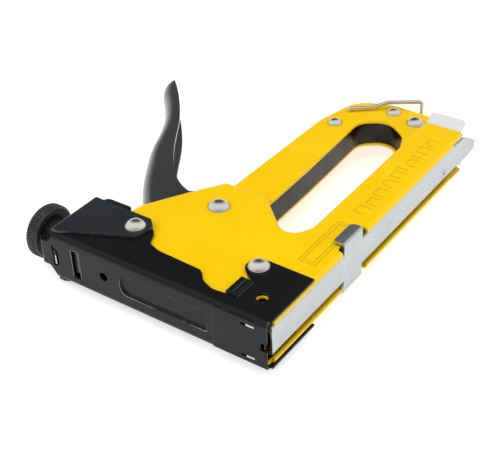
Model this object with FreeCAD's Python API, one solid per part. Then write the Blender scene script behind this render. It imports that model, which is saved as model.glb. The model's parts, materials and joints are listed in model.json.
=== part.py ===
import FreeCAD, Part
import math
import os

# Hand-operated staple gun, lying on its right side.
# Tool frame used while modelling, in millimetres:
#   x  from the nose face (low) to the tail (high)
#   y  from the staple exit (low) to the force knob (high)
#   z  out of the left side, with the middle plane of the tool at z = 0
# Everything is moved at the end so that the origin is the bottom centre of the whole box.

Vec = FreeCAD.Vector
X_AXIS = Vec(1, 0, 0)
Y_AXIS = Vec(0, 1, 0)
Z_AXIS = Vec(0, 0, 1)

# ---- driving dimensions -------------------------------------------------
sheet = 1.1              # casing sheet thickness
edge_round = 2.0         # rounded outer edges of the pressed casings
body_half = 10.4         # half width over the body and the magazine
grip_half = 6.7          # half width over the grip
casing_bottom = -0.6     # lower edge of the casings
sill = 19.4              # lower edge of the finger opening
rear_end = 162.0         # rear edge of the magazine box

cover_sheet = 1.0        # nose cover
cover_face = -1.6        # x of the nose cover's front face
cover_half = 11.6
cover_top = 107.0
cover_bend = 2.5
groove_depth = 1.0
roll_r = 2.4
roll_half = 5.8

cap_sheet = 1.2
cap_half = 13.0
cap_top = 107.4

lever_half = 9.0
lever_sheet = 1.5
lever_round = 4.8
lever_pivot = (51.5, 59.8)
lever_arm = 24.0         # pivot to lifting pin
lever_swing = 38.0       # degrees from open to closed
lift_pin_r = 2.0
pivot_r = 3.0
running_gap = 0.05       # radial clearance of turning fits
side_gap = 0.3           # clearance beside sliding pieces

screw_x = 10.5           # axis of knob, screw, spring and hammer
screw_r = 3.5
knob_r = 11.6
knob_low = 116.9
knob_high = 123.0
spring_r = 5.1           # mean radius of the main spring
spring_wire = 1.9
hammer_low = 44.0
hammer_high = 57.0
nut_low = 92.4
nut_high = 97.4

rail_low = 0.4           # outer face of the magazine rail
rail_half = 6.8
rail_sheet = 0.9
rail_wall_top = 12.5
rail_front = 2.4
rail_rear = 158.0
tail_bend = 163.2
rail_pin = (156.0, 4.2)
rail_pin_r = 2.0
ear_front = 54.0
ear_rear = 68.4
ear_half = 12.5

staple_half = 5.65
staple_wire = 0.7
staple_leg = 8.0
core_half = 4.6
core_top = 9.0
strip_front = 2.5
strip_rear = 52.0

bail_pivot = (156.5, 58.2)
bail_wire_r = 1.0

cap_rivet = (19.2, 78.1)
nose_rivet = (25.2, 21.6)
grip_rivets = [(143.4, 58.3), (166.3, 39.0)]
rear_rivet = (162.8, 25.5)
head_height = 3.0
flange_hole = (10.4, 10.0)
shank_r = 2.0

parts = {}


# ---- small helpers ------------------------------------------------------
def point(xy, z=0.0):
    return Vec(xy[0], xy[1], z)


def rounded_face(corners, z=0.0):
    """Flat face from (x, y, radius) corners; a radius of 0 keeps the corner sharp."""
    count = len(corners)
    starts = []
    ends = []
    arcs = []
    for i, (x, y, r) in enumerate(corners):
        here = Vec(x, y, z)
        before = Vec(corners[i - 1][0], corners[i - 1][1], z)
        after = Vec(corners[(i + 1) % count][0], corners[(i + 1) % count][1], z)
        u = (before - here).normalize()
        v = (after - here).normalize()
        if r <= 0:
            starts.append(here)
            ends.append(here)
            arcs.append(None)
            continue
        half = math.acos(max(-1.0, min(1.0, u.dot(v)))) / 2
        run = r / math.tan(half)
        middle = here + (u + v).normalize() * (r / math.sin(half) - r)
        starts.append(here + u * run)
        ends.append(here + v * run)
        arcs.append(middle)
    edges = []
    for i in range(count):
        if arcs[i] is not None:
            edges.append(Part.Arc(starts[i], arcs[i], ends[i]).toShape())
        a = ends[i]
        b = starts[(i + 1) % count]
        if (b - a).Length > 1e-6:
            edges.append(Part.LineSegment(a, b).toShape())
    return Part.Face(Part.Wire(edges))


def plate(corners, z_low, z_high):
    """Straight plate between two heights."""
    face = rounded_face(corners, z_low)
    return face.extrude(Vec(0, 0, z_high - z_low))


def pressed(corners, z_low, z_high, radius):
    """Plate whose edges at z_high are rounded over."""
    solid = plate(corners, z_low, z_high)
    rim = [e for e in solid.Edges
           if min(v.Point.z for v in e.Vertexes) > z_high - 1e-4]
    return solid.makeFillet(radius, rim)


def block(x0, x1, y0, y1, z0, z1):
    return Part.makeBox(x1 - x0, y1 - y0, z1 - z0, Vec(x0, y0, z0))


def rod(centre, r, z0, z1):
    """Round bar along z."""
    return Part.makeCylinder(r, z1 - z0, point(centre, z0), Z_AXIS)


def tube(centre, r_out, r_in, z0, z1):
    return rod(centre, r_out, z0, z1).cut(rod(centre, r_in, z0 - 1, z1 + 1))


def dome(centre, z, r, height, side):
    """Low rivet head on a face at z; side is +1 or -1."""
    ball_r = (r * r + height * height) / (2 * height)
    base = point(centre, z)
    ball = Part.makeSphere(ball_r, point(centre, z + side * (height - ball_r)))
    cut = Part.makeCylinder(r, height + 0.2, base, Vec(0, 0, side))
    rim = Part.makeCylinder(r, 0.6, base, Vec(0, 0, side))
    cap = ball.common(cut)
    return cap.fuse(rim.common(Part.makeCylinder(r, 0.5, base, Vec(0, 0, side)))).removeSplitter()


def mirrored(shape):
    return shape.mirror(Vec(0, 0, 0), Z_AXIS)


def coil(start, axis, mean_r, wire_r, length, turns):
    """Coil spring of round wire, standing on start and running along axis."""
    helix = Part.makeHelix(length / turns, length, mean_r)
    profile = Part.Wire([Part.Circle(Vec(mean_r, 0, 0), Y_AXIS, wire_r).toShape()])
    solid = Part.Wire(helix.Edges).makePipeShell([profile], True, True)
    solid.Placement = FreeCAD.Placement(start, FreeCAD.Rotation(Z_AXIS, axis))
    return solid


def bent_wire(points, bend_r, wire_r):
    """Round wire through points, with a tangent arc at each inner point."""
    edges = []
    last = points[0]
    for i in range(1, len(points) - 1):
        here = points[i]
        u = (points[i - 1] - here).normalize()
        v = (points[i + 1] - here).normalize()
        half = math.acos(max(-1.0, min(1.0, u.dot(v)))) / 2
        run = bend_r / math.tan(half)
        middle = here + (u + v).normalize() * (bend_r / math.sin(half) - bend_r)
        edges.append(Part.LineSegment(last, here + u * run).toShape())
        edges.append(Part.Arc(here + u * run, middle, here + v * run).toShape())
        last = here + v * run
    edges.append(Part.LineSegment(last, points[-1]).toShape())
    profile = Part.Wire([Part.Circle(points[0], points[1] - points[0], wire_r).toShape()])
    return Part.Wire(edges).makePipeShell([profile], True, False)


def along_y(corners, y_low, y_high):
    """Straight bar along y from (x, z, radius) corners."""
    flat = plate([(x, z, r) for x, z, r in corners], 0, y_high - y_low)
    flat.Placement = FreeCAD.Placement(Vec(0, y_high, 0), FreeCAD.Rotation(X_AXIS, 90))
    return flat


# ---- outlines of the casings --------------------------------------------
BODY = [
    (-0.2, casing_bottom, 1.2), (rear_end, casing_bottom, 2.5),
    (rear_end, 19.9, 3), (141.0, 21.0, 3), (134.5, sill, 2), (60.5, sill, 8),
    (50.5, 24.5, 6), (54.5, 31.5, 8), (69.2, 47.2, 4),
    (69.4, 68.7, 2.5), (54.4, 78.4, 4), (35.9, 89.4, 6),
    (27.9, 90.6, 3), (22.0, 102.0, 3), (-0.2, 102.0, 0),
]
GRIP = [
    (58.0, 30.0, 2), (58.0, 68.4, 2), (77.0, 68.3, 30), (143.0, 66.9, 24),
    (168.8, 61.0, 16), (174.8, 44.0, 20), (174.0, 24.0, 5), (170.3, 16.0, 2),
    (140.0, 10.0, 2), (120.0, 10.0, 2),
]
OPENING = [
    (60.5, sill, 8), (50.5, 24.5, 6), (54.5, 31.5, 8),
    (67.6, 46.2, 4), (100.0, 46.8, 60), (150.4, 49.0, 9),
    (158.2, 37.3, 9), (149.4, 25.0, 10), (134.5, sill, 3),
]


def opening_cutter(grow, z_low, z_high):
    """The finger opening, grown outwards by the given amount."""
    face = rounded_face(OPENING, z_low)
    if grow:
        face = Part.Face(face.OuterWire.makeOffset2D(grow))
    return face.extrude(Vec(0, 0, z_high - z_low))


def casing():
    """Left casing: a deep pressing with a raised body and a lower grip."""
    joint_plane = 0.15
    outer = pressed(BODY, joint_plane, body_half, edge_round)
    outer = outer.fuse(pressed(GRIP, joint_plane, grip_half, edge_round))
    outer = outer.cut(opening_cutter(0, -1, 20))

    def shrink(corners, z_low, z_high):
        face = Part.Face(rounded_face(corners, z_low).OuterWire.makeOffset2D(-sheet))
        return face.extrude(Vec(0, 0, z_high - z_low))

    inner = shrink(BODY, -1, body_half - sheet)
    inner = inner.fuse(shrink(GRIP, -1, grip_half - sheet))
    # a sheet-thick wall follows the opening along the body and the magazine only
    wall = opening_cutter(sheet, -2, 20)
    wall = wall.cut(block(69.5, 180, 40, 70, -3, 21))
    wall = wall.cut(block(138, 180, 10, 70, -3, 21))
    inner = inner.cut(wall)
    shell = outer.cut(inner)
    # open at the nose, along the bottom, at the rear and where the lever comes out
    inside = body_half - sheet
    shell = shell.cut(block(-5, 21, casing_bottom + 1.2, 120, -1, inside))
    shell = shell.cut(block(-5, rear_end + 5, -5, 1.6, -1, 8.1))
    shell = shell.cut(block(150, rear_end + 2, -5, 16.4, -1, inside))
    shell = shell.cut(block(-5, 2.8, -5, casing_bottom + 1.8, -1, 14))
    shell = shell.cut(plate([(20, 80, 0), (20, 110, 0), (60, 110, 0), (72, 68.4, 0), (60, 60, 0)], -1, inside))
    return shell


def cut_ear_slot(shell):
    """Notch in the lower edge that the magazine rail's ear passes through."""
    slot = plate([(ear_front - 2.4, -3, 0), (ear_rear + 2.8, -3, 0),
                  (ear_rear + 2.8, 2.6, 1.2), (ear_front - 2.4, 2.6, 1.2)], 4, 14)
    return shell.cut(slot)


def drill_casing(shell):
    shell = shell.cut(rod(lever_pivot, pivot_r, -1, 14))
    for place in [nose_rivet, cap_rivet, rear_rivet] + grip_rivets:
        shell = shell.cut(rod(place, shank_r, -1, 14))
    shell = shell.cut(rod(flange_hole, 1.95, 8, 14))
    return shell.cut(rod(bail_pivot, bail_wire_r + running_gap, -1, 14))


def casings():
    left = drill_casing(cut_ear_slot(casing()))
    parts["left_shell"] = left
    parts["right_shell"] = mirrored(left)


# ---- nose cover and cap -------------------------------------------------
FLANGE = [
    (-3.0, 0.5, 0), (0.9, 0.5, 0), (0.9, -0.6, 0), (30.0, -0.6, 0), (30.3, 20.0, 0), (29.4, 25.4, 4.2), (23.4, 27.4, 4.5),
    (19.6, 23.6, 3.5), (16.0, 18.4, 1), (5.6, 18.4, 1), (4.6, 29.0, 4), (7.0, 34.8, 4),
    (11.6, 39.0, 4), (12.6, 61.0, 12), (14.6, 67.0, 4), (20.6, 69.6, 4),
    (26.4, 76.0, 4), (26.4, 106.0, 0), (-3.0, 106.0, 0),
]


def folded_cover(front, half, inner):
    """U section along the nose: a front face with two side flanges, rounded at the folds."""
    bend = cover_bend - inner
    shape = block(front, 45, -5, cover_top + 5, -half, half)
    folds = [e for e in shape.Edges
             if all(abs(v.Point.x - front) < 1e-6 for v in e.Vertexes)
             and abs(e.Vertexes[0].Point.z - e.Vertexes[1].Point.z) < 1e-6]
    return shape.makeFillet(bend, folds)


def groove(z_half, y_low, y_high, low_r, high_r, x_face, x_floor):
    """Solid that fills a groove in the front face, with walls that slope to its floor."""
    shape = plate([(-z_half, y_low, low_r), (z_half, y_low, low_r),
                   (z_half, y_high, high_r), (-z_half, y_high, high_r)], 0, x_floor - x_face)
    floor_edges = [e for e in shape.Edges
                   if min(v.Point.z for v in e.Vertexes) > x_floor - x_face - 1e-4]
    shape = shape.makeChamfer(groove_depth * 0.8, floor_edges)
    shape.Placement = FreeCAD.Placement(Vec(x_face, 0, 0), FreeCAD.Rotation(Y_AXIS, 90))
    return shape


def nose_cover():
    outer = folded_cover(cover_face, cover_half, 0)
    inner = folded_cover(cover_face + cover_sheet, cover_half - cover_sheet, cover_sheet)
    cover = outer.cut(inner).common(plate(FLANGE, -20, 20))
    # the lowest stretch of the face is a second layer, slightly proud
    proud = along_y([(cover_face - 0.4, -10.2, 0.3), (cover_face - 0.4, 10.2, 0.3),
                     (cover_face + 0.2, 10.2, 0), (cover_face + 0.2, -10.2, 0)], 0.0, 24.7)
    cover = cover.fuse(proud)
    # tongue above the flanges, narrower at its top, where it curls back into a roll
    tongue = plate([(-10.0, 105.5, 0), (10.0, 105.5, 0), (roll_half, 109.0, 1.5), (roll_half, 111.8, 0),
                    (-roll_half, 111.8, 0), (-roll_half, 109.0, 1.5)], 0, cover_sheet)
    tongue.Placement = FreeCAD.Placement(Vec(cover_face, 0, 0), FreeCAD.Rotation(Y_AXIS, 90))
    roll_centre = (cover_face + roll_r, 111.8)
    roll = tube(roll_centre, roll_r, 0.7, -roll_half, roll_half)
    cover = cover.fuse(tongue).fuse(roll)
    # openings in the face, from corners (z, y, radius)

    def face_cut(corners):
        hole = plate(corners, 0, 3.5)
        hole.Placement = FreeCAD.Placement(Vec(cover_face - 1.5, 0, 0), FreeCAD.Rotation(Y_AXIS, 90))
        return hole

    def face_slot(z_half, y_low, y_high, low_r, high_r, z_mid=0.0):
        return face_cut([(z_mid - z_half, y_low, low_r), (z_mid + z_half, y_low, low_r),
                         (z_mid + z_half, y_high, high_r), (z_mid - z_half, y_high, high_r)])

    cover = cover.cut(face_slot(5.0, 103.4, 106.7, 2.9, 0.4))
    cover = cover.cut(face_slot(6.9, 91.8, 95.8, 0.5, 0.5))
    for z in (-7.6, 7.6):
        cover = cover.cut(face_slot(0.6, 5.3, 11.6, 0.5, 0.5, z))
    cover = cover.cut(face_slot(1.9, -1.0, 3.5, 0, 0.9))
    cover = cover.cut(Part.makeCylinder(2.1, 4, Vec(cover_face - 2, 79.0, 0), X_AXIS))
    # long pressed groove with sloping walls: the face dips inwards
    cover = cover.fuse(groove(5.2, 27.0, 71.0, 1.9, 3.9, cover_face + 0.5, cover_face + cover_sheet + groove_depth))
    cover = cover.cut(groove(4.7, 27.5, 70.5, 1.5, 3.5, cover_face - 0.01, cover_face + groove_depth))
    # lanced hook beside the nose rivet, hole and rivet holes
    for side in (1, -1):
        low = min(side * 10.6, side * 13.0)
        tab = pressed([(5.2, 18.0, 0.3), (15.8, 18.0, 0.3), (15.8, 23.2, 0.3), (5.2, 23.2, 0.3)],
                      10.6, 13.0, 0.9)
        cover = cover.fuse(tab if side > 0 else mirrored(tab))
        cover = cover.cut(rod(flange_hole, 2.4, low - 1.5, low + 4))
        cover = cover.cut(rod(nose_rivet, shank_r, low - 1.5, low + 4))
        cover = cover.cut(rod(cap_rivet, shank_r, low - 1.5, low + 4))
    return cover


CAP_SIDE = [
    (-0.4, 103.6, 0), (-0.4, cap_top, 0), (27.0, cap_top, 0), (26.6, 76.0, 1.5),
    (22.6, 71.6, 3), (13.4, 73.2, 1.5),
]


def top_cap():
    """Folded bracket over the top of the nose, with a curled tongue at its rear."""
    shape = block(-0.4, 27.0, 60, cap_top, -cap_half, cap_half)
    folds = [e for e in shape.Edges
             if all(abs(v.Point.y - cap_top) < 1e-6 and abs(abs(v.Point.z) - cap_half) < 1e-6
                    for v in e.Vertexes)]
    shape = shape.makeFillet(1.8, folds)
    half = cap_half - cap_sheet
    hollow = block(-5, 30, 55, cap_top - cap_sheet, -half, half)
    cap = shape.cut(hollow).common(plate(CAP_SIDE, -20, 20))
    tongue = plate([(26.0, cap_top - cap_sheet, 0), (33.2, cap_top - cap_sheet, 1.6),
                    (33.2, 94.0, 0.4), (34.4, 93.4, 0.4), (34.4, cap_top, 2.8), (26.0, cap_top, 0)],
                   -8, 8)
    cap = cap.fuse(tongue).removeSplitter()
    cap = cap.cut(Part.makeCylinder(screw_r + running_gap, 10, Vec(screw_x, 102, 0), Y_AXIS))
    return cap.cut(rod(cap_rivet, shank_r, -20, 20))


# ---- drive: knob, screw, nut, spring, hammer, blade ---------------------
def force_knob():
    disc = Part.makeCylinder(knob_r, knob_high - knob_low, Vec(screw_x, knob_low, 0), Y_AXIS)
    disc = disc.makeFillet(0.8, disc.Edges)
    dish = Part.makeCylinder(knob_r - 3.4, 3.5, Vec(screw_x, knob_low - 0.5, 0), Y_AXIS)
    hub = Part.makeCylinder(6.0, knob_low - cap_top + 3.0, Vec(screw_x, cap_top + 0.2, 0), Y_AXIS)
    knob = disc.cut(dish).fuse(hub)
    return knob.cut(Part.makeCylinder(screw_r, 12, Vec(screw_x, cap_top, 0), Y_AXIS))


def adjusting_screw():
    shaft = Part.makeCylinder(screw_r, 119.0 - 84.0, Vec(screw_x, 84.0, 0), Y_AXIS)
    collar = Part.makeCylinder(9.0, 1.7, Vec(screw_x, cap_top - cap_sheet - 1.8, 0), Y_AXIS)
    return shaft.fuse(collar).removeSplitter()


def spring_nut():
    nut = block(-0.2, screw_x + 6.6, nut_low, nut_high, -6.1, 6.1)
    upright = [e for e in nut.Edges if abs(e.Vertexes[0].Point.y - e.Vertexes[1].Point.y) > 1]
    nut = nut.makeFillet(1.2, upright)
    return nut.cut(Part.makeCylinder(screw_r + running_gap, 20, Vec(screw_x, 88, 0), Y_AXIS))


def main_spring():
    low = hammer_high + spring_wire / 2 + 0.1
    high = nut_low - spring_wire / 2 - 0.1
    return coil(Vec(screw_x, low, 0), Y_AXIS, spring_r, spring_wire / 2, high - low, 8)


rest_arm = math.radians(lever_swing / 2)
lift_pin = (lever_pivot[0] - lever_arm * math.cos(rest_arm),
            lever_pivot[1] - lever_arm * math.sin(rest_arm))
hammer_travel = 2 * lever_arm * math.sin(rest_arm)


def hammer():
    head = block(1.65, 17.6, hammer_low, hammer_high, -7.2, 7.2)
    upright = [e for e in head.Edges if abs(e.Vertexes[0].Point.y - e.Vertexes[1].Point.y) > 1]
    head = head.makeFillet(1.0, upright)
    lug = plate([(16.0, 45.5, 0), (31.0, 45.5, 3), (34.6, 49.0, 2.5), (34.6, 57.0, 2.5), (16.0, 57.0, 0)], -4, 4)
    boss = Part.makeCylinder(3.7, 5.0, Vec(screw_x, hammer_high - 1, 0), Y_AXIS)
    slot_low = lift_pin[1] - lift_pin_r - side_gap
    slot_high = lift_pin[1] + lift_pin_r + side_gap
    slot = plate([(25.0, slot_low, 2), (31.4, slot_low, 2), (31.4, slot_high, 2), (25.0, slot_high, 2)], -10, 10)
    return head.fuse(lug).fuse(boss).cut(slot)


def striker_blade():
    blade = block(0.45, 1.55, 2.6, 56.0, -staple_half + 0.05, staple_half - 0.05)
    return blade


def hammer_bumper():
    pad = block(3.0, 19.0, 33.0, hammer_low - 0.3, -9.1, 9.1)
    return pad.makeFillet(1.0, [e for e in pad.Edges if abs(e.Vertexes[0].Point.z - e.Vertexes[1].Point.z) > 1])


# ---- lever --------------------------------------------------------------
LEVER_BACK = [(36.3, 88.8), (54.0, 103.5), (66.3, 111.5), (80.6, 119.6), (91.3, 124.3),
              (106.7, 133.1), (119.0, 143.5), (125.2, 148.9), (132.2, 152.3)]
LEVER_BELLY = [(135.4, 149.2), (126.9, 140.5), (116.3, 131.1), (100.8, 119.6),
               (86.1, 110.5), (68.2, 96.8), (60.6, 88.6), (56.2, 79.4)]


def curve(points, z):
    spline = Part.BSplineCurve()
    spline.interpolate([point(p, z) for p in points])
    return spline.toShape()


def shifted(points, distance):
    """The points moved sideways from the line that they follow, to its right."""
    moved = []
    for i, p in enumerate(points):
        a = points[max(i - 1, 0)]
        b = points[min(i + 1, len(points) - 1)]
        length = math.dist(a, b)
        nx = (b[1] - a[1]) / length
        ny = -(b[0] - a[0]) / length
        moved.append((p[0] + nx * distance, p[1] + ny * distance))
    return moved


def edges_between(shape, start, end):
    """Edges in the flat sides of a shape that run from one corner of its outline to another."""
    found = []
    for e in shape.Edges:
        ends = [v.Point for v in e.Vertexes]
        if len(ends) == 2 and abs(ends[0].z - ends[1].z) < 0.01:
            corners = [point(start, ends[0].z), point(end, ends[0].z)]
            if all(min(p.distanceToPoint(c) for c in corners) < 0.01 for p in ends):
                found.append(e)
    return found


def lever():
    """Hollow channel, open towards the grip, whose walls reach forward as the lifting arm."""
    z = -lever_half
    root = [(60.9, 66.0), (59.6, 55.4), (51.5, 50.4), (42.0, 50.6), (29.4, 47.7),
            (24.3, 51.0), (25.8, 58.0), (30.0, 74.0)]
    edges = [curve(LEVER_BACK, z),
             Part.LineSegment(point(LEVER_BACK[-1], z), point(LEVER_BELLY[0], z)).toShape(),
             curve(LEVER_BELLY, z),
             curve([LEVER_BELLY[-1]] + root + [LEVER_BACK[0]], z)]
    wall = Part.Face(Part.Wire(edges)).extrude(Vec(0, 0, 2 * lever_half))
    wall = wall.makeFillet(lever_round, edges_between(wall, LEVER_BACK[0], LEVER_BACK[-1]))
    inner_z = lever_half - lever_sheet
    under = [(29.0, 79.6)] + shifted(LEVER_BACK, lever_sheet) + [(140.0, 152.4)]
    around = [under[-1], (141.5, 146.0), (150.0, 140.0), (70.0, 40.0), (10.0, 40.0), (10.0, 66.0),
              (35.0, 73.0), under[0]]
    sides = [Part.LineSegment(point(p, 0), point(q, 0)).toShape() for p, q in zip(around, around[1:])]
    hollow = Part.Face(Part.Wire([curve(under, 0)] + sides)).extrude(Vec(0, 0, 2 * inner_z))
    hollow.translate(Vec(0, 0, -inner_z))
    hollow = hollow.makeFillet(lever_round - lever_sheet, edges_between(hollow, under[0], under[-1]))
    bore = rod(lever_pivot, pivot_r + running_gap, -20, 20)
    return wall.cut(hollow).cut(bore).cut(rod(lift_pin, lift_pin_r, -20, 20))


def lever_pieces():
    parts["lever"] = lever()
    parts["lifting_pin"] = rod(lift_pin, lift_pin_r, -lever_half, lever_half)
    shank = rod(lever_pivot, pivot_r, -body_half, body_half)
    heads = [dome(lever_pivot, s * body_half, 4.8, 3.2, s) for s in (1, -1)]
    parts["lever_pivot_rivet"] = shank.fuse(heads[0]).fuse(heads[1]).removeSplitter()
    parts["pivot_bush"] = tube(lever_pivot, 4.6, pivot_r + 0.02, -7.2, 7.2)
    spring = coil(point(lever_pivot, -4.0), Z_AXIS, 5.5, 0.6, 8.0, 5.5)
    parts["lever_spring"] = spring


# ---- rivets -------------------------------------------------------------
def through_rivet(place, half, head_r):
    shape = rod(place, shank_r, -half, half)
    for s in (1, -1):
        shape = shape.fuse(dome(place, s * half, head_r, head_r * head_height / 4.4, s))
    return shape.removeSplitter()


def short_rivet(place, side):
    """Headed rivet that joins the sheets on one side only."""
    outside = side * cap_half
    inside = side * (body_half - sheet - 0.8)
    shape = rod(place, shank_r, min(inside, outside), max(inside, outside))
    flat = rod(place, 3.0, min(inside, inside + side * 0.8), max(inside, inside + side * 0.8))
    return shape.fuse(flat).fuse(dome(place, outside, 4.4, head_height, side)).removeSplitter()


def rivets():
    parts["nose_rivet"] = through_rivet(nose_rivet, cover_half, 4.5)
    parts["cap_rivets"] = Part.makeCompound([short_rivet(cap_rivet, s) for s in (1, -1)])
    parts["grip_rivets"] = Part.makeCompound([through_rivet(p, grip_half, 3.5) for p in grip_rivets])
    parts["rear_rivet"] = through_rivet(rear_rivet, grip_half, 4.2)
    inside = grip_half - sheet - 0.05
    sleeves = [tube(p, 3.4, shank_r + 0.02, -inside, inside) for p in grip_rivets + [rear_rivet]]
    parts["grip_sleeves"] = Part.makeCompound(sleeves)
    inside = body_half - sheet - 0.05
    parts["nose_sleeve"] = tube(nose_rivet, 3.9, shank_r + 0.02, -inside, inside)


# ---- grip liner and bail ------------------------------------------------
LINER = [
    (60.5, sill, 8), (50.5, 24.5, 6), (54.5, 31.5, 8),
    (67.6, 46.2, 4), (100.0, 46.8, 60), (151.0, 49.0, 9),
    (159.4, 37.3, 9), (150.4, 24.7, 10), (134.5, sill, 3),
]


def grip_liner():
    """Channel that lines the top and rear of the finger opening."""
    z = grip_half - sheet - 0.05
    inside = rounded_face(LINER, -z)
    outside = Part.Face(inside.OuterWire.makeOffset2D(2.0))
    band = outside.cut(inside).extrude(Vec(0, 0, 2 * z))
    keep = block(70.2, 180, 44.0, 70, -z, z).fuse(block(141.5, 180, 20.6, 70, -z, z))
    return band.common(keep).removeSplitter()


def lock_bail():
    """Wire loop that swings on the rear of the grip to hold the closed lever."""
    near = [point(bail_pivot, 4.8), point(bail_pivot, 8.2), point((163.8, 49.0), 8.2),
            point((168.5, 43.4), 10.3), point((177.3, 29.4), 10.3)]
    far = [Vec(p.x, p.y, -p.z) for p in reversed(near)]
    return bent_wire(near + far, 1.5, bail_wire_r)


# ---- magazine -----------------------------------------------------------
def staple_guide():
    """Fixed inverted channel inside the magazine box."""
    outer = block(rail_front, 159.0, 3.0, 16.2, -8.0, 8.0)
    for side in (1, -1):
        low = min(side * 7.15, side * 8.0)
        outer = outer.fuse(block(cover_face - 0.3, rail_front + 0.1, 5.6, 9.2, low, low + 0.85))
    guide = outer.cut(block(-5, 170, -5, 15.2, -7.1, 7.1)).removeSplitter()
    return guide.cut(rod(rail_pin, rail_pin_r, -20, 20))


def magazine_rail():
    """Channel that closes the magazine from below, with a finger ear on each side."""
    channel = block(rail_front, rail_rear, rail_low, rail_wall_top, -rail_half, rail_half)
    inside = rail_half - rail_sheet
    long_edges = [e for e in channel.Edges
                  if e.BoundBox.YMax < rail_low + 1e-4 and e.BoundBox.XLength > 100]
    channel = channel.makeFillet(1.2, long_edges)
    channel = channel.cut(block(-5, 170, rail_low + 1.0, 30, -inside, inside))
    # tail that the finger pulls: flat to tail_bend, then bent down
    flat = along_y([(157.5, -6.5, 0), (tail_bend, -6.4, 0), (tail_bend, 6.4, 0), (157.5, 6.5, 0)],
                   rail_low, rail_low + 1.0)
    tongue = along_y([(tail_bend - 0.2, -6.4, 0), (166.8, -4.9, 3), (169.8, -3.2, 2), (171.8, -2.0, 1.0),
                      (171.8, 2.0, 1.0), (169.8, 3.2, 2), (166.8, 4.9, 3), (tail_bend - 0.2, 6.4, 0)],
                     rail_low, rail_low + 1.0)
    tongue.rotate(Vec(tail_bend, rail_low + 1.0, 0), Z_AXIS, -15)
    rail = channel.fuse(flat).fuse(tongue)
    web = along_y([(ear_front, -ear_half, 0), (ear_rear, -ear_half, 0),
                   (ear_rear, ear_half, 0), (ear_front, ear_half, 0)], rail_low, rail_low + 1.0)
    rail = rail.fuse(web)
    for side in (1, -1):
        ear = plate([(ear_front, rail_low, 0), (ear_rear, rail_low, 0),
                     (ear_rear, 5.7, 2.8), (ear_front, 5.7, 1.0)], ear_half - 1.0, ear_half)
        rail = rail.fuse(ear if side > 0 else mirrored(ear))
    rail = rail.removeSplitter()
    corners = [e for e in rail.Edges
               if abs(e.BoundBox.YMin - rail_low) < 1e-4 and abs(e.BoundBox.YMax - rail_low) < 1e-4
               and abs(abs(e.BoundBox.Center.z) - ear_half) < 1e-4]
    rail = rail.makeFillet(1.3, corners)
    rail = rail.cut(rod(rail_pin, rail_pin_r + running_gap, -20, 20))
    return rail


def staple_core():
    """Rail inside the magazine that the staples straddle, with the rod's end plate."""
    low = rail_low + 1.05
    core = block(rail_front + 0.2, 149.0, low, core_top, -core_half, core_half)
    core = core.cut(block(-5, 160, 0, core_top - 0.9, -core_half + 0.9, core_half - 0.9))
    end = block(149.0, 150.6, low, 14.6, -5.5, 5.5)
    return core.fuse(end).removeSplitter()


rod_height = 12.2


def pusher():
    """Saddle that slides on the core and presses the staples forward."""
    body = block(strip_rear + 0.1, 64.0, 2.6, 14.8, -5.6, 5.6)
    inner = core_half + side_gap
    body = body.cut(block(40, 70, 0, core_top + side_gap, -inner, inner))
    return body.cut(Part.makeCylinder(1.5 + side_gap, 30, Vec(45, rod_height, 0), X_AXIS))


def staple_strip():
    """Strip of glued staples standing on the core, crowns up."""
    crown = core_top + 0.1 + staple_wire
    outer = block(strip_front, strip_rear, crown - staple_leg, crown, -staple_half, staple_half)
    hollow = block(-5, 70, -5, crown - staple_wire, -staple_half + staple_wire, staple_half - staple_wire)
    return outer.cut(hollow)


def magazine():
    parts["staple_guide"] = staple_guide()
    parts["magazine_rail"] = magazine_rail()
    parts["staple_core"] = staple_core()
    parts["pusher"] = pusher()
    parts["pusher_rod"] = Part.makeCylinder(1.5, 149.0 - 46.0, Vec(46.0, rod_height, 0), X_AXIS)
    parts["pusher_spring"] = coil(Vec(64.6, rod_height, 0), X_AXIS, 2.4, 0.4, 83.5, 24)
    parts["staple_strip"] = staple_strip()
    parts["rail_hinge_pin"] = rod(rail_pin, rail_pin_r, -8.6, 8.6)
    parts["rear_plate"] = rear_plate()


def rear_plate():
    """Bent plate across the rear of the magazine, with an ear flared out on each side."""
    wing = [(160.2, 0.0, 0), (161.2, 0.0, 0), (161.2, 8.0, 0.3), (163.4, 8.2, 1), (168.8, 11.4, 0.2),
            (168.4, 12.3, 0.2), (163.1, 9.1, 1), (160.2, 9.0, 0.5)]
    half = along_y(wing, 2.2, 19.6)
    half = half.cut(block(150, 161.3, -5, 6.0, -8.1, 8.1))
    half = half.cut(block(150, 162.3, 16.2, 30, -1, 12))
    keep = plate([(150, 2.2, 0), (168.8, 2.2, 1.8), (168.8, 19.6, 1.8), (150, 19.6, 0)], -1, 20)
    half = half.common(keep)
    return half.fuse(mirrored(half)).removeSplitter()


def drive():
    parts["nose_cover"] = nose_cover()
    parts["top_cap"] = top_cap()
    parts["force_knob"] = force_knob()
    parts["adjusting_screw"] = adjusting_screw()
    parts["spring_nut"] = spring_nut()
    parts["main_spring"] = main_spring()
    parts["hammer"] = hammer()
    parts["striker_blade"] = striker_blade()
    parts["hammer_bumper"] = hammer_bumper()


casings()
drive()
lever_pieces()
rivets()
parts["grip_liner"] = grip_liner()
parts["lock_bail"] = lock_bail()
magazine()

# ---- origin and export --------------------------------------------------
whole = Part.makeCompound(list(parts.values())).optimalBoundingBox(False)
origin = Vec((whole.XMin + whole.XMax) / 2, (whole.YMin + whole.YMax) / 2, whole.ZMin)
print("origin", [round(v, 3) for v in origin], "size", round(whole.XLength, 2), round(whole.YLength, 2),
      round(whole.ZLength, 2), "hammer travel", round(hammer_travel, 3), "lift pin", lift_pin)
os.makedirs("parts", exist_ok=True)
for name, shape in parts.items():
    moved = shape.copy()
    moved.translate(origin * -1)
    moved.exportStep("parts/" + name + ".step")
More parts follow.
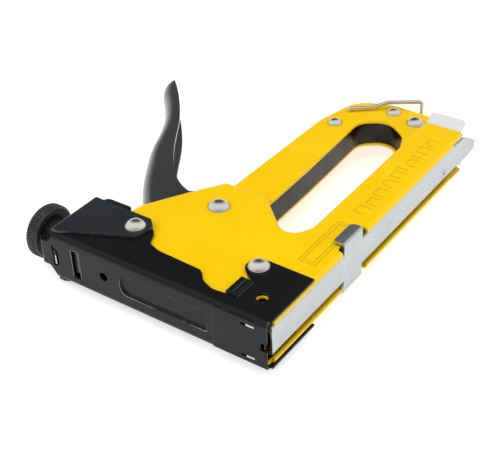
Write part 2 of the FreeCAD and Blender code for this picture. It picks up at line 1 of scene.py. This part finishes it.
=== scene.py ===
"""Looks of a hand staple gun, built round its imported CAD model."""
import math

import bmesh
import bpy
from mathutils import Matrix, Vector
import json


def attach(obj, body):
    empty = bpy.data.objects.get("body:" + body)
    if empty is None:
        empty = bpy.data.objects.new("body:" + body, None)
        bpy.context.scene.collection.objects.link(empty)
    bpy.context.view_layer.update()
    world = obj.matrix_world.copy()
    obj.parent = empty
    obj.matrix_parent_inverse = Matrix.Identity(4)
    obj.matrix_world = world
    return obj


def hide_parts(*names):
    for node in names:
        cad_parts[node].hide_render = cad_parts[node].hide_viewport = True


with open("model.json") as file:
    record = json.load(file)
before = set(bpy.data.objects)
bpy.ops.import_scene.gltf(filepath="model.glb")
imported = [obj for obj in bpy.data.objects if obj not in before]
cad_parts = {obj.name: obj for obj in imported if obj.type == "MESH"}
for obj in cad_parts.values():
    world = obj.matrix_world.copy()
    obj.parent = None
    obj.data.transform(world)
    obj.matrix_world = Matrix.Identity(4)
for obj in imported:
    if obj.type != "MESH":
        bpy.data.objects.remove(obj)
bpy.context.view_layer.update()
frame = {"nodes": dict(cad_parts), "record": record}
nodes = frame["nodes"]
record = frame["record"]

# The tool's own drawing runs from the nose's lower front corner: x to the rear, y up to the
# knob, z out of the left side, in millimetres. The staple face's mount ties it to the row frame.
FACE_MOUNT = Vector((30.0, 0.4, 0.0))
mount = next(m for m in record["mounts"] if m["name"] == "staple_face")
ROW_SHIFT = Vector(mount["pos_m"]) - FACE_MOUNT / 1000

SCREW_X = 10.5       # axis of the adjusting screw and its knob
RAIL_LOW = 0.4       # underside of the rail
FRONT_FACE = -1.6    # front of the nose cover
SHELL_SIDE = 10.4    # left shell's side, beside the magazine
COVER_SIDE = 11.6    # nose cover's left side
HOOK_SIDE = 13.0     # raised hook beside the nose rivet
PROUD = 0.03         # how far a drawn line stands off its face, or is sunk into it


def at(x, y, z):
    """A point of the tool's drawing, in millimetres, as a row-frame point in metres."""
    return Vector((x, y, z)) / 1000 + ROW_SHIFT


# ---- node helpers -------------------------------------------------------
def new_material(name):
    """A node material, with its tree and its shader."""
    mat = bpy.data.materials.new(name)
    mat.use_nodes = True
    tree = mat.node_tree
    return mat, tree, tree.nodes["Principled BSDF"]


def plug(tree, value, socket):
    """Links a node's output into the socket, or sets a plain value on it."""
    if isinstance(value, bpy.types.NodeSocket):
        tree.links.new(value, socket)
    else:
        socket.default_value = value


def add(tree, kind, inputs=None, **settings):
    """A new node, with what goes into its sockets given by socket name or number."""
    node = tree.nodes.new(kind)
    for key, value in settings.items():
        setattr(node, key, value)
    for key, value in (inputs or {}).items():
        plug(tree, value, node.inputs[key])
    return node


def object_coords(tree):
    return add(tree, "ShaderNodeTexCoord").outputs["Object"]


def noise_value(tree, scale, detail, rough=0.5, stretch=None):
    """Noise on the object's own coordinates, drawn out along the axes where stretch is small."""
    vector = object_coords(tree)
    if stretch:
        vector = add(tree, "ShaderNodeMapping",
                     {"Vector": vector, "Scale": stretch}).outputs["Vector"]
    return add(tree, "ShaderNodeTexNoise", {"Vector": vector, "Scale": scale, "Detail": detail,
                                            "Roughness": rough}).outputs["Fac"]


def ramp(tree, value, stops):
    """Colour looked up between (place, colour) stops."""
    node = tree.nodes.new("ShaderNodeValToRGB")
    elements = node.color_ramp.elements
    while len(elements) > 1:
        elements.remove(elements[0])
    elements[0].position, elements[0].color = stops[0]
    for place, colour in stops[1:]:
        elements.new(place).color = colour
    tree.links.new(value, node.inputs["Fac"])
    return node.outputs["Color"]


def tint(colour, factor=1.0):
    return tuple(c * factor for c in colour) + (1,)


def grey(v):
    return (v, v, v, 1)


def mix(tree, factor, a, b):
    """Colour mix; sockets 6 and 7 are the two colours and output 2 their blend."""
    return add(tree, "ShaderNodeMix", {0: factor, 6: a, 7: b}, data_type="RGBA").outputs[2]


def spread(tree, value, low, high, from_low=0.3, from_high=0.7):
    """The value's from_low to from_high range, stretched over low to high."""
    return add(tree, "ShaderNodeMapRange",
               {"Value": value, "From Min": from_low, "From Max": from_high,
                "To Min": low, "To Max": high}).outputs["Result"]


def dot_product(tree, a, b):
    node = add(tree, "ShaderNodeVectorMath", {0: a, 1: b}, operation="DOT_PRODUCT")
    return node.outputs["Value"]


def rounded_normal(tree, radius, samples):
    """Normal with the edges rounded to a radius in millimetres."""
    bevel = add(tree, "ShaderNodeBevel", {"Radius": radius / 1000}, samples=samples)
    return bevel.outputs["Normal"]


def bump(tree, shader, heights, rounding=0.0):
    """Chains bumps (height, strength, distance in mm) over an optional rounded-edge normal."""
    normal = rounded_normal(tree, rounding, 6) if rounding else None
    for height, strength, distance in heights:
        inputs = {"Height": height, "Strength": strength, "Distance": distance / 1000}
        if normal:
            inputs["Normal"] = normal
        normal = add(tree, "ShaderNodeBump", inputs).outputs["Normal"]
    tree.links.new(normal, shader.inputs["Normal"])


def edge_mask(tree, radius):
    """1 where a face turns into its neighbour within radius millimetres, and 0 on the flat."""
    sharp, flat = 0.75, 0.98
    facing = add(tree, "ShaderNodeNewGeometry").outputs["Normal"]
    agreement = dot_product(tree, rounded_normal(tree, radius, 4), facing)
    return spread(tree, agreement, 1.0, 0.0, sharp, flat)


# ---- materials ----------------------------------------------------------
def painted_nose_shade_mask(tree):
    """1 on the faces inside the nose, between the casings' side walls, which get painted shade."""
    nose_rear, half_width, lip_top = 21.3, 9.5, 2.0
    place = add(tree, "ShaderNodeSeparateXYZ", {"Vector": object_coords(tree)}).outputs
    tests = (("LESS_THAN", {0: place["X"], 1: at(nose_rear, 0, 0).x}),
             ("COMPARE", {0: place["Z"], 1: at(0, 0, 0).z, 2: half_width / 1000}),
             ("GREATER_THAN", {0: place["Y"], 1: at(0, lip_top, 0).y}))
    result = 1.0
    for operation, inputs in tests:
        passed = add(tree, "ShaderNodeMath", inputs, operation=operation).outputs[0]
        both = add(tree, "ShaderNodeMath", {0: result, 1: passed}, operation="MULTIPLY")
        result = both.outputs[0]
    return result


def yellow_paint(name, painted_shade_factor):
    """Glossy stoved enamel with a soft gloss that varies, and painted shade: near black inside the
    nose.
    """
    mat, tree, shader = new_material(name)
    cloud = noise_value(tree, 30.0, 3.0)
    peel = noise_value(tree, 240.0, 2.0)
    # the factor darkens the whole colour; below 1 it makes a painted-shade copy of the yellow
    base = ramp(tree, cloud, [(0.3, tint((0.775, 0.485, 0.0), painted_shade_factor)),
                              (0.7, tint((0.81, 0.515, 0.0), painted_shade_factor))])
    # painted shade: the yellow turns near black inside the nose, where the casings shade it
    base = mix(tree, painted_nose_shade_mask(tree), base, grey(0.010))
    tree.links.new(base, shader.inputs["Base Color"])
    tree.links.new(spread(tree, cloud, 0.22, 0.30), shader.inputs["Roughness"])
    shader.inputs["Specular IOR Level"].default_value = 0.30
    bump(tree, shader, [(peel, 0.04, 0.02), (cloud, 0.06, 0.15)], rounding=0.4)
    return mat


def black_enamel(name, tone, rough_low, rough_high, shine, orange_peel=0.10, lacquer=0.0):
    """Dark sprayed paint: faint orange peel, and bare metal showing through on worn edges."""
    mat, tree, shader = new_material(name)
    cloud = noise_value(tree, 45.0, 3.0)
    peel = noise_value(tree, 350.0, 2.0)
    grain = noise_value(tree, 260.0, 5.0)
    paint = ramp(tree, cloud, [(0.3, tint((0.82, 0.92, 1.02), tone)),
                               (0.7, tint((0.98, 1.10, 1.24), tone))])
    worn = mix(tree, spread(tree, grain, 0.0, 0.75, 0.50, 0.62), grey(0), edge_mask(tree, 0.22))
    tree.links.new(mix(tree, worn, paint, tint((0.34, 0.34, 0.33))), shader.inputs["Base Color"])
    tree.links.new(spread(tree, cloud, rough_low, rough_high), shader.inputs["Roughness"])
    shader.inputs["Specular IOR Level"].default_value = shine
    shader.inputs["Specular Tint"].default_value = (0.88, 0.96, 1.0, 1)
    shader.inputs["Coat Weight"].default_value = lacquer
    shader.inputs["Coat Roughness"].default_value = 0.28
    shader.inputs["Coat IOR"].default_value = 1.85
    bump(tree, shader, [(peel, orange_peel, 0.03)], rounding=0.3)
    return mat


def bright_metal(name, colour, rough_low, rough_high, brush=None, tarnish=0.75):
    """Bare or plated metal, clouded by tarnish and brushed along the axes where brush is small."""
    mat, tree, shader = new_material(name)
    cloud = noise_value(tree, 90.0, 4.0)
    streaks = noise_value(tree, 120.0, 5.0, 0.6, brush)
    stain = ramp(tree, cloud, [(0.25, tint(colour, tarnish)), (0.65, tint(colour))])
    tree.links.new(stain, shader.inputs["Base Color"])
    shader.inputs["Metallic"].default_value = 1.0
    tree.links.new(spread(tree, streaks, rough_low, rough_high), shader.inputs["Roughness"])
    bump(tree, shader, [(streaks, 0.08, 0.02)], rounding=0.15)
    return mat


def galvanised(name, metallic, rough_low, rough_high, paleness):
    """Zinc-plated strip: long soft streaks and a faint mottle."""
    mat, tree, shader = new_material(name)
    mottle = noise_value(tree, 70.0, 5.0, 0.6)
    streaks = noise_value(tree, 160.0, 5.0, 0.6, (0.06, 1, 1))
    base = ramp(tree, mottle, [(0.3, tint((0.39, 0.425, 0.45))),
                               (0.7, tint((0.47, 0.505, 0.525)))])
    base = mix(tree, spread(tree, streaks, 0.0, 0.35), base, tint((0.54, 0.57, 0.585)))
    base = mix(tree, paleness, base, tint((0.80, 0.81, 0.80)))
    tree.links.new(base, shader.inputs["Base Color"])
    shader.inputs["Metallic"].default_value = metallic
    tree.links.new(spread(tree, streaks, rough_low, rough_high), shader.inputs["Roughness"])
    bump(tree, shader, [(mottle, 0.03, 0.05), (streaks, 0.02, 0.02)], rounding=0.25)
    return mat


def rubber():
    """Matt black rubber."""
    mat, tree, shader = new_material("rubber")
    cloud = noise_value(tree, 200.0, 4.0)
    base = ramp(tree, cloud, [(0.3, grey(0.012)), (0.7, grey(0.03))])
    tree.links.new(base, shader.inputs["Base Color"])
    tree.links.new(spread(tree, cloud, 0.6, 0.8), shader.inputs["Roughness"])
    bump(tree, shader, [(cloud, 0.2, 0.05)])
    return mat


YELLOW = yellow_paint("yellow_paint", 1.0)
# darker yellow copy: painted shade for the lines of the pressed marks
PAINTED_SHADE_YELLOW = yellow_paint("painted_shade_yellow", 0.80)
BLACK = black_enamel("black_enamel", 0.0075, 0.13, 0.20, 0.17)
CAP_BLACK = black_enamel("cap_enamel", 0.017, 0.22, 0.32, 0.50)
LEVER_BLACK = black_enamel("lever_enamel", 0.013, 0.34, 0.44, 0.5, orange_peel=0.12, lacquer=0.9)
KNOB = black_enamel("knob_coating", 0.018, 0.34, 0.46, 0.55)
LINER = bright_metal("dark_zinc", (0.034, 0.033, 0.032), 0.16, 0.34, (1, 1, 0.1), tarnish=0.5)
NICKEL = bright_metal("nickel", (0.72, 0.70, 0.66), 0.14, 0.24, tarnish=0.9)
WIRE = bright_metal("bail_wire", (0.74, 0.72, 0.68), 0.14, 0.22, tarnish=0.85)
STEEL = bright_metal("bright_steel", (0.62, 0.62, 0.62), 0.25, 0.40, (0.1, 1, 1))
DARK_STEEL = bright_metal("dark_steel", (0.10, 0.10, 0.10), 0.30, 0.45)
BLADE = bright_metal("blade_steel", (0.26, 0.13, 0.07), 0.25, 0.40, (1, 0.1, 1))
SPRING = bright_metal("spring_steel", (0.30, 0.30, 0.32), 0.25, 0.40)
STAPLE = bright_metal("staple_wire", (0.66, 0.60, 0.52), 0.2, 0.35, (1, 0.1, 0.1))
# bright metal for the painted highlight lines on the black parts' edges
HIGHLIGHT_METAL = bright_metal("painted_highlight_metal", (0.52, 0.52, 0.53), 0.30, 0.45, tarnish=0.4)
ZINC = galvanised("galvanised", 0.9, 0.20, 0.34, 0.0)
PALE_ZINC = galvanised("pale_zinc", 0.35, 0.40, 0.55, 0.6)
RUBBER = rubber()

NODE_LOOKS = {
    YELLOW: ["left_shell", "right_shell"],
    BLACK: ["nose_cover"],
    CAP_BLACK: ["top_cap"],
    LEVER_BLACK: ["lever"],
    LINER: ["grip_liner"],
    NICKEL: ["lever_pivot_rivet", "nose_rivet", "cap_rivets", "grip_rivets", "rear_rivet"],
    WIRE: ["lock_bail"],
    DARK_STEEL: ["adjusting_screw", "spring_nut"],
    ZINC: ["magazine_rail"],
    PALE_ZINC: ["rear_plate"],
    BLADE: ["striker_blade"],
    STEEL: ["hammer", "lifting_pin", "pivot_bush", "grip_sleeves", "nose_sleeve", "staple_guide",
            "staple_core", "pusher", "pusher_rod", "rail_hinge_pin"],
    SPRING: ["main_spring", "lever_spring", "pusher_spring"],
    KNOB: ["force_knob"],
    STAPLE: ["staple_strip"],
    RUBBER: ["hammer_bumper"],
}
for look, names in NODE_LOOKS.items():
    for name in names:
        node = nodes[name]
        node.data.materials.clear()
        node.data.materials.append(look)


# ---- drawn pieces -------------------------------------------------------
def piece(name, verts, faces, look, body, smooth=False, sharp_deg=30.0):
    """A mesh object that rides on a body and takes its finish from a material slot."""
    mesh = bpy.data.meshes.new(name)
    mesh.from_pydata([tuple(v) for v in verts], [], faces)
    work = bmesh.new()
    work.from_mesh(mesh)
    bmesh.ops.remove_doubles(work, verts=work.verts, dist=1e-7)
    bmesh.ops.recalc_face_normals(work, faces=work.faces)
    for face in work.faces:
        face.smooth = smooth
    for edge in work.edges:
        if len(edge.link_faces) == 2 and edge.calc_face_angle() > math.radians(sharp_deg):
            edge.smooth = False
    work.to_mesh(mesh)
    work.free()
    obj = bpy.data.objects.new(name, mesh)
    bpy.context.scene.collection.objects.link(obj)
    obj.data.materials.append(look)
    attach(obj, body)
    return obj


def joined(meshes):
    """Several (verts, faces) meshes as one."""
    verts, faces = [], []
    for more_verts, more_faces in meshes:
        faces += [tuple(len(verts) + i for i in face) for face in more_faces]
        verts += more_verts
    return verts, faces


def lathe(profile, segments, radius_at=None):
    """Closed (r, y) profile turned round the screw's axis; radius_at may vary r round the turn."""
    verts, faces = [], []
    count = len(profile)
    for i in range(segments):
        angle = 2 * math.pi * i / segments
        for j, (r, y) in enumerate(profile):
            r = radius_at(i, j, r) if radius_at else r
            verts.append(at(SCREW_X + r * math.cos(angle), y, r * math.sin(angle)))
    for i in range(segments):
        k = (i + 1) % segments
        for j in range(count):
            n = (j + 1) % count
            faces.append((i * count + j, i * count + n, k * count + n, k * count + j))
    return verts, faces


def knurled_knob():
    """Force knob with fine straight teeth round its rim and a dished underside."""
    rim, low, high, bore = 11.9, 116.9, 123.0, 3.1
    underside = [(bore, low + 2.4), (6.4, low + 2.2), (8.3, low + 0.5), (8.8, low), (10.7, low),
                 (11.1, low + 0.25)]
    toothed = [(rim, low + 0.9), (rim, low + 1.2), (rim, high - 1.2), (rim, high - 0.9)]
    top = [(11.1, high - 0.3), (10.6, high), (9.6, high), (9.3, high - 0.35), (3.4, high - 0.35),
           (bore, high - 0.6)]
    teeth, root = 66, -0.62
    tooth = (root, -0.50, -0.08, 0.0, -0.08, -0.50)
    first, last = len(underside), len(underside) + len(toothed) - 1

    def radius_at(i, j, r):
        """The teeth run between the rim's end rings, which lie at their root."""
        if j in (first, last):
            return r + root
        return r + tooth[i % len(tooth)] if first < j < last else r

    verts, faces = lathe(underside + toothed + top, teeth * len(tooth), radius_at)
    knob = piece("knurled_knob", verts, faces, KNOB, "knob",
                 smooth=True, sharp_deg=24)
    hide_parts("force_knob")
    hub = [(bore, 107.7), (5.7, 107.7), (6.0, 108.0), (6.0, 119.9), (bore, 119.9)]
    verts, faces = lathe(hub, 64)
    piece("knob_hub", verts, faces, KNOB, "knob", smooth=True)


def bar(x0, x1, y0, y1, z0, z1):
    """Plain bar between two values along each axis."""
    verts = [at(x, y, z) for x in (x0, x1) for y in (y0, y1) for z in (z0, z1)]
    faces = [(0, 1, 3, 2), (4, 6, 7, 5), (0, 4, 5, 1), (2, 3, 7, 6), (0, 2, 6, 4), (1, 5, 7, 3)]
    return verts, faces


def staple_wires():
    """The strip as single staples side by side, in place of the solid channel."""
    front, rear, low, crown, half, wire = 2.5, 52.0, 1.8, 9.8, 5.65, 0.7
    pitch, gap = 0.75, 0.07
    bars = []
    for i in range(int((rear - front) / pitch)):
        x0 = front + i * pitch
        x1 = x0 + pitch - gap
        bars.append(bar(x0, x1, crown - wire, crown, -half, half))
        for side in (-1, 1):
            bars.append(bar(x0, x1, low, crown - wire, side * half, side * (half - wire)))
    verts, faces = joined(bars)
    strip = piece("staple_wires", verts, faces, STAPLE, "rail")
    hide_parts("staple_strip")


def ridge(path, z, width, rise):
    """Low ridge with sloping walls along an (x, y) path on a flat side face."""
    verts, faces = [], []
    closed = path[0] == path[-1]
    points = path[:-1] if closed else path
    count = len(points)
    for i, p in enumerate(points):
        before = points[i - 1] if closed or i else None
        after = points[(i + 1) % count] if closed or i < count - 1 else None
        directions = [Vector((b[0] - a[0], b[1] - a[1])).normalized()
                      for a, b in ((before, p), (p, after)) if a and b]
        normals = [Vector((-d.y, d.x)) for d in directions]
        across = sum(normals, Vector((0, 0))).normalized()
        across /= max(across.dot(normals[0]), 0.4)
        for offset, lift in ((-0.5, -PROUD), (-0.2, rise), (0.2, rise), (0.5, -PROUD)):
            q = Vector(p) + across * width * offset
            verts.append(at(q.x, q.y, z + lift))
    for i in range(count if closed else count - 1):
        k = (i + 1) % count
        for j in range(4):
            n = (j + 1) % 4
            faces.append((i * 4 + j, i * 4 + n, k * 4 + n, k * 4 + j))
    if not closed:
        last = (count - 1) * 4
        faces += [(0, 1, 2, 3), (last + 3, last + 2, last + 1, last)]
    return verts, faces


def rectangle(x0, y0, x1, y1):
    return [(x0, y0), (x1, y0), (x1, y1), (x0, y1), (x0, y0)]


def pressed_marks():
    """Faint pressed lines on the left side: a plain frame and a row of staples and nails, in a
    darker yellow that paints the shade of pressed grooves.
    """
    paths = [rectangle(38.5, 4.6, 69.0, 12.2), rectangle(40.0, 6.0, 67.5, 10.8)]
    x, foot, gap = 79.0, 5.2, 2.6
    nail, nail_head, nail_pitch = 0.0, 2.4, 4.2
    # (width, height, radius of the rounded crown); a nail has no width
    shapes = ((5.0, 5.6, 0.0), (5.0, 4.2, 0.0), (5.6, 5.0, 0.0), (5.6, 5.6, 2.6), (5.0, 5.6, 0.0),
              (nail, 6.0, 0.0), (5.4, 5.0, 2.6), (nail, 5.0, 0.0), (5.0, 5.6, 0.0),
              (5.0, 5.0, 2.4))
    for width, height, arch in shapes:
        top = foot + height
        if width == nail:
            paths.append([(x, foot), (x, top)])
            paths.append([(x - nail_head / 2, top), (x + nail_head / 2, top)])
            x += nail_pitch
            continue
        crown = [(x, top), (x + width, top)]
        if arch:
            crown = [(x + width / 2 - arch * math.cos(math.pi * k / 8),
                      top - arch + arch * math.sin(math.pi * k / 8)) for k in range(9)]
        paths.append([(x, foot)] + crown + [(x + width, foot)])
        x += width + gap
    # painted shade: the lines take the darker yellow copy, standing in for the shade in pressed
    # grooves
    verts, faces = joined(ridge(path, SHELL_SIDE, 0.50, 0.12) for path in paths)
    piece("pressed_marks", verts, faces, PAINTED_SHADE_YELLOW, "frame",
          smooth=True, sharp_deg=20)


def dome(x, z, along, across, rise, turn):
    """Bump below the rail's underside, over an arc of turn radians."""
    rings, steps = 5, 20
    row = steps + 1
    verts, faces = [], []
    for r in range(rings + 1):
        t = r / rings
        y = RAIL_LOW + 0.05 - rise * math.cos(t * math.pi / 2)
        for k in range(row):
            angle = turn * k / steps
            verts.append(at(x + along * t * math.cos(angle), y, z + across * t * math.sin(angle)))
    for r in range(rings):
        for i in range(r * row, r * row + steps):
            faces.append((i, i + 1, i + 1 + row, i + row))
    return verts, faces


def rail_dimples():
    """Two lanced bumps on the rail's underside; the larger one, a half-moon, gets a dark crescent
    of painted shade for its gap.
    """
    moon_x = 144.3
    verts, faces = joined([dome(moon_x, -2.3, 1.7, 1.5, 0.7, math.pi),
                           dome(47.0, -3.0, 0.6, 0.6, 0.25, 2 * math.pi)])
    piece("rail_dimples", verts, faces, ZINC, "rail", smooth=True)
    # painted shade: a flat dark crescent just below the rail stands in for the shade in the
    # lance's gap
    steps, inner, outer, stretch = 14, 0.75, 1.35, 1.15
    verts = []
    for k in range(steps + 1):
        angle = math.pi * (1.0 + k / steps)
        for r in (inner, outer):
            verts.append(at(moon_x + stretch * r * math.cos(angle), RAIL_LOW - 0.04,
                            -2.2 + r * math.sin(angle)))
    faces = [(2 * k, 2 * k + 1, 2 * k + 3, 2 * k + 2) for k in range(steps)]
    piece("rail_dimple_gap_shade", verts, faces, DARK_STEEL, "rail")


def on_front(z, y):
    return at(FRONT_FACE - PROUD, y, z)


def on_hook(x, y):
    return at(x, y, HOOK_SIDE + PROUD)


def on_cover(x, y):
    return at(x, y, COVER_SIDE + PROUD)


def band(place, width, points, tapered=False):
    """Flat strip along (u, v) points that place puts on a face; tapered thins it at its ends."""
    verts = []
    last = len(points) - 1
    for i, (u, v) in enumerate(points):
        before, after = points[max(i - 1, 0)], points[min(i + 1, last)]
        run = Vector((after[0] - before[0], after[1] - before[1])).normalized()
        half = width / 2
        if tapered:
            half *= 0.35 + 0.65 * math.sin(math.pi * (i + 0.5) / len(points))
        for side in (-half, half):
            verts.append(place(u - run.y * side, v + run.x * side))
    return verts, [(2 * i, 2 * i + 1, 2 * i + 3, 2 * i + 2) for i in range(last)]


def arc(u, v, r, start, end, count=8):
    """Points of an arc, between two angles in degrees."""
    angles = [math.radians(start + (end - start) * k / count) for k in range(count + 1)]
    return [(u + r * math.cos(a), v + r * math.sin(a)) for a in angles]


def painted_highlight_lines():
    """Painted highlights along the sharpest edges of the black parts: fine bright bare-metal lines
    a little proud.
    """
    groove_top = [(3.0, 70.55)] + arc(-1.3, 67.0, 3.5, 90, 180) + [(-4.8, 60.0), (-4.8, 54.0)]
    groove_foot = [(-4.8, 36.0), (-4.8, 30.0)] + arc(-3.3, 29.0, 1.5, 180, 250)
    slot_top = [(-6.6, 95.9), (6.8, 95.9)]
    slot_foot = [(-6.6, 91.7), (6.6, 91.7)]
    slot_end = [(7.0, 92.2), (7.0, 95.4)]
    lines = [band(on_front, width, points, tapered=True) for width, points in
             ((0.24, groove_top), (0.24, groove_foot), (0.20, slot_top), (0.16, slot_foot),
              (0.18, slot_end))]
    hook_lines = [band(on_hook, 0.28, [(6.2, 20.2), (15.2, 20.2)]),
                  band(on_cover, 0.30, [(5.0, 17.8), (15.9, 17.8)])]
    verts, faces = joined(lines + hook_lines)
    piece("painted_highlight_lines", verts, faces, HIGHLIGHT_METAL, "frame")


knurled_knob()
staple_wires()
pressed_marks()
rail_dimples()
painted_highlight_lines()

# ---- camera -------------------------------------------------------------
CAMERA_POINT = at(-234.4, -163.1, 255.2)
CAMERA_FORWARD = Vector((0.66238, 0.48011, -0.57511)).normalized()
CAMERA_RIGHT = Vector((0.56889, -0.82183, -0.03086)).normalized()
camera_up = CAMERA_RIGHT.cross(CAMERA_FORWARD)
camera_data = bpy.data.cameras.new("camera")
camera_data.sensor_width = 36.0
camera_data.lens = 75.1
camera_data.clip_start = 0.01
camera_data.clip_end = 50.0
camera = bpy.data.objects.new("camera", camera_data)
turn = Matrix((CAMERA_RIGHT, camera_up, -CAMERA_FORWARD)).transposed()
camera.matrix_world = Matrix.Translation(CAMERA_POINT) @ turn.to_4x4()
bpy.context.scene.collection.objects.link(camera)
bpy.context.scene.camera = camera


# ---- stage and light ----------------------------------------------------
def area_light(name, place, size, power):
    """Soft square lamp aimed at the tool, which leaves no bright shape in its metal."""
    data = bpy.data.lights.new(name, "AREA")
    data.size = size
    data.energy = power
    lamp = bpy.data.objects.new(name, data)
    lamp.location = place
    lamp.rotation_euler = (-Vector(place)).to_track_quat("-Z", "Y").to_euler()
    lamp.visible_glossy = False
    bpy.context.scene.collection.objects.link(lamp)


def stage():
    """White table that glows a little, as a lit photo table does."""
    half = 6.0
    mesh = bpy.data.meshes.new("floor")
    mesh.from_pydata([(-half, -half, 0), (half, -half, 0), (half, half, 0), (-half, half, 0)], [],
                     [(0, 1, 2, 3)])
    floor = bpy.data.objects.new("floor", mesh)
    bpy.context.scene.collection.objects.link(floor)
    mat, tree, shader = new_material("pale_floor")
    pale = ramp(tree, noise_value(tree, 3.0, 2.0), [(0.3, grey(0.60)), (0.7, grey(0.62))])
    tree.links.new(pale, shader.inputs["Base Color"])
    tree.links.new(pale, shader.inputs["Emission Color"])
    shader.inputs["Emission Strength"].default_value = 0.95
    shader.inputs["Roughness"].default_value = 0.9
    shader.inputs["Specular IOR Level"].default_value = 0.1
    floor.data.materials.append(mat)


def studio_world():
    """White room with one dark panel, which the tool's flat upper faces mirror."""
    world = bpy.data.worlds.new("studio")
    world.use_nodes = True
    tree = world.node_tree
    panel = Vector((0.60, 0.434, 0.66)).normalized()
    direction = add(tree, "ShaderNodeTexCoord").outputs["Generated"]
    # 0 straight away from the panel, 1 at its middle
    towards = spread(tree, dot_product(tree, direction, panel), 0.0, 1.0, -1.0, 1.0)
    shade = ramp(tree, towards, [(0.30, grey(0.30)), (0.52, grey(0.85)), (0.66, grey(1.0)),
                                 (0.885, grey(0.95)), (0.93, grey(0.48)), (0.965, grey(0.14)),
                                 (1.0, grey(0.09))])
    background = tree.nodes["Background"]
    tree.links.new(shade, background.inputs["Color"])
    background.inputs["Strength"].default_value = 0.95
    bpy.context.scene.world = world


stage()
studio_world()
area_light("overhead", (-0.2, -0.15, 1.3), 1.6, 10.0)
area_light("key", (-1.1, 0.5, 1.0), 0.9, 6.0)
area_light("fill", (0.1, -1.3, 0.6), 1.0, 3.5)
bpy.context.scene.view_settings.view_transform = "Standard"
